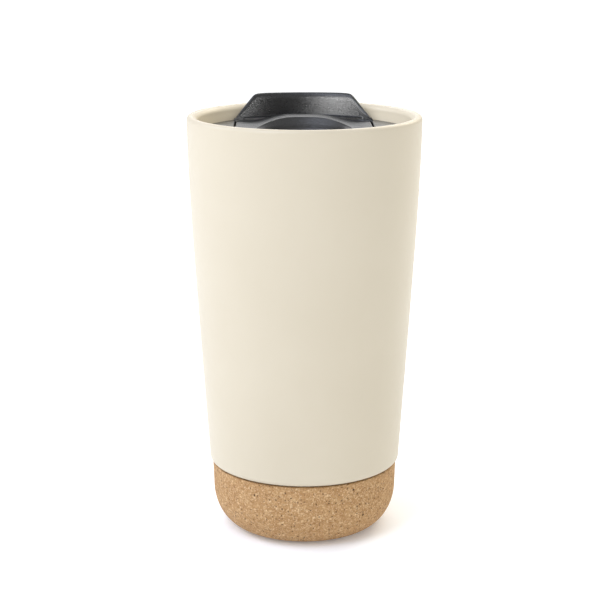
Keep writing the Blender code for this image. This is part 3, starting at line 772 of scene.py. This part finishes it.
def spout_section(x):
    """A front-to-back section of the spout and its step: step, fillet, hollow face, round top, outside."""
    top = spout_height(x)
    low = DECK_Z - SPOUT_EMBED
    face = math.sqrt(SPOUT_INNER_RADIUS ** 2 - x * x)
    back = math.sqrt(SPOUT_OUTER_RADIUS ** 2 - x * x)
    front = min(STEP_Y, face)
    # Towards the spout's ends each height and rounding shrinks with the room left for it.
    step_top = min(STEP_TOP, blend(DECK_Z, top, 0.4))
    step_round = min(STEP_ROUND, 0.3 * (face - front))
    fillet = min(STEP_FILLET, 0.6 * (face - front))
    crown = min(SPOUT_ROUND, 0.5 * (top - DECK_Z))
    points = [(front, low)]
    points += arc((front + step_round, step_top - STEP_ROUND), step_round, 180.0, 90.0, 3, STEP_ROUND)
    points += arc((face - fillet, step_top + STEP_FILLET), fillet, 270.0, 360.0, 5, STEP_FILLET)
    wall_low = points[-1][1]
    wall_top = max(top - crown, wall_low + SPOUT_FACE_LEAST)
    points += [(face, blend(wall_low, wall_top, index / 8)) for index in range(1, 8)]
    half = 0.5 * (back - face)
    points += arc((face + half, wall_top), half, 180.0, 0.0, 18, top - wall_top)
    points += [(back, blend(wall_top, low, index / 5)) for index in range(1, 6)]
    return [(x, y, z) for y, z in points]


def make_spout():
    """The spout, lofted across from one end to the other through its sections."""
    bm = bmesh.new()
    sections = []
    for index in range(SPOUT_COLUMNS + 1):
        x = SPOUT_END_X * (2.0 * index / SPOUT_COLUMNS - 1.0)
        sections.append([bm.verts.new(point) for point in spout_section(x)])
    for near, far in zip(sections, sections[1:]):
        bridge(bm, near, far)
    bm.faces.new(sections[0])
    bm.faces.new(list(reversed(sections[-1])))
    return finish_mesh("lid_spout", bm, sharp_deg=SPOUT_SHARP_DEG)


def make_cover():
    """The deck and the spout. The spout is handed back, for the lights that are its own."""
    deck_finish = plastic_finish("black_deck_plastic")
    spout_finish = plastic_finish("black_spout_plastic")
    deck = loft("lid_deck", deck_rings(), closed=True)
    spout = make_spout()
    for piece, finish in ((deck, deck_finish), (spout, spout_finish)):
        piece.data.materials.append(finish)
        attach(piece, "lid")
        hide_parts("lid_cover")
    return spout


def plug_outline():
    """Section of the plug under the deck: its floor, rim, gasket groove and skirt."""
    floor_low = FLOOR_TOP_Z - FLOOR_THICKNESS
    radius = PLUG_HIGH.x
    low = PLUG_LOW.z
    top = PLUG_HIGH.z
    edge = PLUG_EDGE_ROUND
    under = PLUG_UNDER_ROUND
    outline = [(0.0, FLOOR_TOP_Z)]
    outline += arc((PLUG_RIM_INNER_RADIUS - edge, FLOOR_TOP_Z + edge), edge, 270.0, 360.0, 3)
    outline += arc((PLUG_RIM_INNER_RADIUS + edge, top - edge), edge, 180.0, 90.0, 3)
    outline += arc((radius - edge, top - edge), edge, 90.0, 0.0, 3)
    outline += arc((radius - edge, GROOVE_TOP_Z + edge), edge, 0.0, -90.0, 3)
    outline += [(GROOVE_RADIUS, GROOVE_TOP_Z), (GROOVE_RADIUS, GROOVE_LOW_Z)]
    outline += arc((radius - GAP - edge, GROOVE_LOW_Z - edge), edge, 90.0, 0.0, 3)
    outline += arc((radius - 2.0 * GAP - 2.0 * edge, low + 2.0 * edge), 2.0 * edge, 0.0, -90.0, 4)
    outline += arc((SKIRT_INNER_RADIUS + edge, low + edge), edge, 270.0, 180.0, 3)
    outline += arc((SKIRT_INNER_RADIUS - under, floor_low - under), under, 0.0, 90.0, 5)
    outline.append((0.0, floor_low))
    return outline


def slot_tool():
    """A rounded bar the size of the drinking slot, standing through the floor of the plug."""
    half_depth = 0.5 * (SLOT_BACK_Y - SLOT_FRONT_Y)
    middle = 0.5 * (SLOT_BACK_Y + SLOT_FRONT_Y)
    straight = SLOT_HALF_WIDTH - half_depth
    plan = arc((straight, middle), half_depth, -90.0, 90.0, 16)
    plan += arc((-straight, middle), half_depth, 90.0, 270.0, 16)
    return prism("slot_tool", plan)


def air_hole_tool():
    """A round bar the size of the air hole."""
    last_deg = 360.0 - 360.0 / AIR_HOLE_POINTS
    plan = arc((0.0, AIR_HOLE_Y), AIR_HOLE_RADIUS, 0.0, last_deg, AIR_HOLE_POINTS - 1)
    return prism("air_hole_tool", plan)


def prism(name, plan):
    """A flat outline extruded through the floor of the plug."""
    bm = bmesh.new()
    low = FLOOR_TOP_Z - 2.0 * FLOOR_THICKNESS
    face = bm.faces.new([bm.verts.new((x, y, low)) for x, y in plan])
    grown = bmesh.ops.extrude_face_region(bm, geom=[face])
    moved = [part for part in grown["geom"] if isinstance(part, bmesh.types.BMVert)]
    bmesh.ops.translate(bm, vec=(0.0, 0.0, 3.0 * FLOOR_THICKNESS), verts=moved)
    return finish_mesh(name, bm)


def make_plug():
    plug = turned("lid_plug", plug_outline(), count=PLUG_AROUND)
    cut(plug, slot_tool())
    cut(plug, air_hole_tool())
    plug.data.materials.clear()
    plug.data.materials.append(plastic_finish("black_plug_plastic"))
    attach(plug, "lid")
    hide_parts("lid_base")


def make_gasket():
    """Silicone ring with three tapered fins, thin and round at their tips."""
    low = GASKET_LOW.z
    high = GASKET_HIGH.z
    inner = GROOVE_RADIUS + GAP
    tip_radius = GASKET_HIGH.x
    pitch = (high - low) / GASKET_FINS
    thin_radius = GASKET_BODY_RADIUS - GASKET_ROOT_STEP
    thick_radius = GASKET_BODY_RADIUS + GASKET_ROOT_STEP
    outline = [(inner, low)]
    for index in range(GASKET_FINS):
        fin_low = low + pitch * index
        centre = (tip_radius - FIN_TIP_ROUND, fin_low + FIN_TIP * pitch)
        outline.append((thin_radius, fin_low + FIN_START * pitch))
        outline.append((GASKET_BODY_RADIUS, fin_low + FIN_ROOT_LOW * pitch))
        outline += arc(centre, FIN_TIP_ROUND, -60.0, 75.0, 5)
        outline.append((thick_radius, fin_low + FIN_ROOT_HIGH * pitch))
    outline += [(thin_radius, high), (inner, high)]
    gasket = turned("lid_seal_ring", outline, closed=True)
    gasket.data.materials.append(silicone_finish("black_silicone", 0.022))
    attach(gasket, "lid")
    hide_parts("lid_gasket")


# ---- Slide ----------------------------------------------------------------------------------

def grip_height(x, y):
    """Height of the raised grip above the slide's flat top."""
    across = (abs(x) - GRIP_CREST_HALF_WIDTH) / (GRIP_FOOT_HALF_WIDTH - GRIP_CREST_HALF_WIDTH)
    along = (y - GRIP_END_Y) / (GRIP_FULL_Y - GRIP_END_Y)
    return GRIP_HEIGHT * (1.0 - ease(across)) * ease(along)


def slide_top(drop=0.0):
    """Height of the slide's upper surface at (x, y), lowered by a drop."""
    return lambda x, y: SLIDE_TOP_Z + grip_height(x, y) - drop


def slide_rings():
    """From the middle of the scoop over its edge and the grip, round the rim and back underneath."""
    count = LID_AROUND
    rings = [[(0.0, 0.0, SCOOP_FLOOR_Z)]]
    centre = SCOOP_FLOOR_RADIUS - SCOOP_FLOOR_ROUND
    for index in range(1, 8):
        rings.append(ring(centre * index / 8, SCOOP_FLOOR_Z, count))
    for turn in quarter_turn(8)[:-1]:
        height = SCOOP_FLOOR_Z + SCOOP_FLOOR_ROUND * (1.0 - math.cos(turn))
        rings.append(ring(centre + SCOOP_FLOOR_ROUND * math.sin(turn), height, count))
    wall_low = SCOOP_FLOOR_Z + SCOOP_FLOOR_ROUND
    wall_top = slide_top(SCOOP_EDGE_ROUND)
    for index in range(4):
        share = index / 4
        radius = blend(SCOOP_FLOOR_RADIUS, SCOOP_RADIUS, share)
        rings.append(ring(radius, lambda x, y: blend(wall_low, wall_top(x, y), share), count))
    for turn in quarter_turn(4):
        radius = SCOOP_RADIUS + SCOOP_EDGE_ROUND * (1.0 - math.cos(turn))
        rings.append(ring(radius, slide_top(SCOOP_EDGE_ROUND * (1.0 - math.sin(turn))), count))
    crown = SCOOP_RADIUS + SCOOP_EDGE_ROUND
    for index in range(1, SLIDE_ROWS):
        share = index / SLIDE_ROWS
        rings.append(ring(lambda a: blend(crown, slide_reach(a) - EDGE_ROUND, share), slide_top(), count))
    for turn in quarter_turn(5):
        inset = EDGE_ROUND * (1.0 - math.sin(turn))
        rings.append(ring(inside(slide_reach, inset), slide_top(EDGE_ROUND * (1.0 - math.cos(turn))), count))
    rings.append(ring(slide_reach, SLIDE_UNDER_Z + UNDER_CHAMFER, count))
    rings.append(ring(inside(slide_reach, UNDER_CHAMFER), SLIDE_UNDER_Z, count))
    bowl_top = SCOOP_RADIUS + BOWL_WALL
    bowl_low = SCOOP_FLOOR_RADIUS + BOWL_WALL
    rings.append(ring(bowl_top, SLIDE_UNDER_Z, count))
    for turn in quarter_turn(4):
        radius = bowl_low - BOWL_ROUND * (1.0 - math.cos(turn))
        rings.append(ring(radius, SLIDE_LOW.z + BOWL_ROUND * (1.0 - math.sin(turn)), count))
    rings.append([(0.0, 0.0, SLIDE_LOW.z)])
    return rings


def slide_rail(side):
    """A foot along one side of the slide, caught under the cover."""
    outline = [
        (RAIL_INNER_X, RAIL_LOW_Z),
        (RAIL_OUTER_X, RAIL_LOW_Z),
        (RAIL_OUTER_X, PLUG_HIGH.z),
        (SLIDE_HALF_WIDTH - GAP, PLUG_HIGH.z),
        (SLIDE_HALF_WIDTH - GAP, SLIDE_UNDER_Z + GAP),
        (RAIL_INNER_X, SLIDE_UNDER_Z + GAP),
    ]
    name = "rail_left" if side < 0.0 else "rail_right"
    outline = [(side * x, z) for x, z in outline]
    return rounded_bar(name, outline, RAIL_FRONT_Y, RAIL_BACK_Y, RAIL_EDGE_ROUND)


def make_slide():
    """The slide with its two rails, handed back for the lights that leave it out."""
    slide = loft("slide_closure", slide_rings())
    join(slide, slide_rail(-1.0), slide_rail(1.0))
    slide.data.materials.append(plastic_finish("black_slide_plastic"))
    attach(slide, "slide")
    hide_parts("slider")
    return slide


def finish_hidden_parts():
    """Materials for the small inner parts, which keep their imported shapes."""
    finishes = {
        "slider_seal": silicone_finish("grey_seal_silicone", 0.07),
        "vent_plug": silicone_finish("pale_plug_silicone", 0.42),
        "adhesive_pad": foam_finish(),
    }
    for node, finish in finishes.items():
        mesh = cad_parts[node].data
        mesh.materials.clear()
        mesh.materials.append(finish)


# ---- Studio ---------------------------------------------------------------------------------

def make_floor():
    bm = bmesh.new()
    bmesh.ops.create_grid(bm, x_segments=8, y_segments=8, size=FLOOR_HALF_SIZE)
    floor = finish_mesh("studio_floor", bm)
    floor.data.materials.append(floor_finish())


def make_world():
    """White surroundings, a little dimmer as a light than in the view itself."""
    world = bpy.data.worlds.new("studio")
    bpy.context.scene.world = world
    world.use_nodes = True
    background = world.node_tree.nodes["Background"]
    background.inputs["Color"].default_value = (1.0, 1.0, 1.0, 1.0)
    light_path = world.node_tree.nodes.new("ShaderNodeLightPath")
    strength = world.node_tree.nodes.new("ShaderNodeMapRange")
    strength.inputs["To Min"].default_value = WORLD_LIGHT
    strength.inputs["To Max"].default_value = WORLD_VIEW
    world.node_tree.links.new(light_path.outputs["Is Camera Ray"], strength.inputs["Value"])
    world.node_tree.links.new(strength.outputs["Result"], background.inputs["Strength"])


def make_softbox(name, around_deg, up_deg, width, height, radiance, colour):
    """A rectangular soft light, facing the cup, of an even radiance over its whole face."""
    lamp = bpy.data.lights.new(name, "AREA")
    lamp.shape = "RECTANGLE"
    lamp.size = width
    lamp.size_y = height
    lamp.energy = radiance * math.pi * width * height
    lamp.color = colour
    item = bpy.data.objects.new(name, lamp)
    bpy.context.scene.collection.objects.link(item)
    around = math.radians(around_deg)
    up = math.radians(up_deg)
    level = math.cos(up)
    outwards = Vector((math.sin(around) * level, -math.cos(around) * level, math.sin(up)))
    item.location = Vector(SOFTBOX_TARGET) + outwards * SOFTBOX_DISTANCE
    item.rotation_euler = (-outwards).to_track_quat("-Z", "Y").to_euler()
    item.visible_camera = False
    return item


def piece_group(name, pieces, state):
    """A collection for light linking, in which every piece is included or excluded."""
    group = bpy.data.collections.new(name)
    for piece in pieces:
        group.objects.link(piece)
    for entry in group.collection_objects:
        entry.light_linking.link_state = state
    return group


def make_camera():
    camera = bpy.data.objects.new("camera", bpy.data.cameras.new("camera"))
    bpy.context.scene.collection.objects.link(camera)
    camera.data.lens = CAMERA_LENS
    camera.data.clip_end = CAMERA_REACH
    turn = Euler((0.0, 0.0, CAMERA_AZIMUTH)).to_matrix()
    camera.location = turn @ Vector((CAMERA_SIDE, -CAMERA_DISTANCE, CAMERA_HEIGHT))
    camera.rotation_euler = Euler((0.5 * math.pi - CAMERA_PITCH, 0.0, CAMERA_AZIMUTH))
    bpy.context.scene.camera = camera


def make_studio(spout, slide):
    """Floor, surroundings, lights and camera. Some lights leave out the slide, others serve the spout."""
    make_floor()
    make_world()
    for softbox in SOFTBOXES:
        lamp = make_softbox(*softbox)
        if lamp.name in OFF_THE_SLIDE:
            lamp.light_linking.receiver_collection = piece_group(lamp.name, (slide,), "EXCLUDE")
    for accent in SPOUT_ACCENTS:
        lamp = make_softbox(*accent)
        lamp.visible_diffuse = False
        lamp.light_linking.receiver_collection = piece_group(lamp.name, (spout,), "INCLUDE")
        lamp.light_linking.blocker_collection = piece_group(lamp.name + "_blockers", (spout,), "INCLUDE")
    make_camera()
    bpy.context.scene.view_settings.view_transform = "Standard"


def main():
    make_ceramic()
    make_cork()
    spout = make_cover()
    make_plug()
    make_gasket()
    slide = make_slide()
    finish_hidden_parts()
    make_studio(spout, slide)


main()
